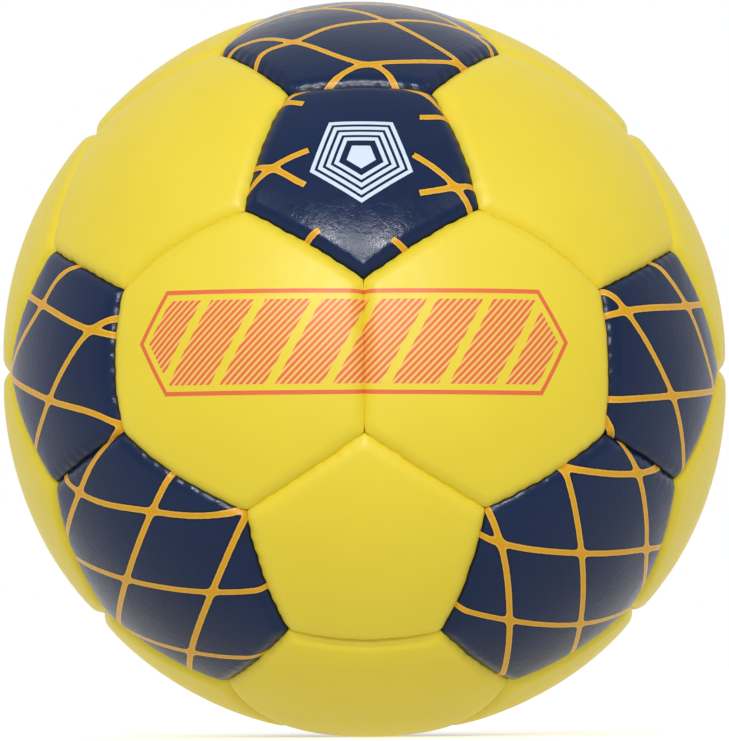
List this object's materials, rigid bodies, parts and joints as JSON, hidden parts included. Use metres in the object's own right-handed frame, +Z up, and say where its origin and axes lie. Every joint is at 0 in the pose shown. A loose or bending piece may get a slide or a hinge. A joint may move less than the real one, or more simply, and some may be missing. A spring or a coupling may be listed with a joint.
{
  "type": "handball",
  "caption": "Hand-stitched handball: pillowed hexagon and pentagon panels sewn over foam, lining and a rubber bladder, with a needle valve at the back.",
  "frame": {"origin": "centre of the ball", "axes": "+Z up and -Y to the front, both along twofold axes of the panel pattern; each axis passes the middle of a seam between two hexagons"},
  "size_m": [0.1862, 0.1862, 0.1862],
  "materials": {
    "skin_yellow": "satin",
    "skin_navy": "satin",
    "foam": "matte",
    "lining": "matte",
    "thread": "satin",
    "bladder_rubber": "satin",
    "patch_rubber": "matte",
    "valve_rubber": "matte",
    "plug_rubber": "satin"
  },
  "bodies": {
    "root": {"hex_front_left": "skin_yellow", "hex_front_right": "skin_yellow", "hex_front_upper_left": "skin_yellow", "hex_front_upper_right": "skin_yellow", "hex_front_lower_left": "skin_navy", "hex_front_lower_right": "skin_navy", "hex_top_front": "skin_navy", "hex_top_back": "skin_yellow", "hex_left_upper": "skin_yellow", "hex_left_lower": "skin_yellow", "hex_right_upper": "skin_yellow", "hex_right_lower": "skin_yellow", "hex_bottom_front": "skin_yellow", "hex_bottom_back": "skin_navy", "hex_back_left": "skin_yellow", "hex_back_right": "skin_yellow", "hex_back_upper_left": "skin_navy", "hex_back_upper_right": "skin_navy", "hex_back_lower_left": "skin_yellow", "hex_back_lower_right": "skin_yellow", "pent_front_upper": "skin_navy", "pent_front_lower": "skin_yellow", "pent_left_front": "skin_navy", "pent_right_front": "skin_navy", "pent_top_left": "skin_yellow", "pent_top_right": "skin_yellow", "pent_bottom_left": "skin_yellow", "pent_bottom_right": "skin_yellow", "pent_left_back": "skin_navy", "pent_right_back": "skin_navy", "pent_back_upper": "skin_yellow", "pent_back_lower": "skin_navy", "hex_foam_pads": "foam", "pent_foam_pads": "foam", "hex_linings": "lining", "pent_linings": "lining", "seam_threads_hex_hex": "thread", "seam_threads_hex_pent": "thread", "bladder": "bladder_rubber", "balance_patch": "patch_rubber", "valve_body": "valve_rubber", "valve_plug": "plug_rubber", "valve_patch": "patch_rubber"}
  },
  "joints": []
}
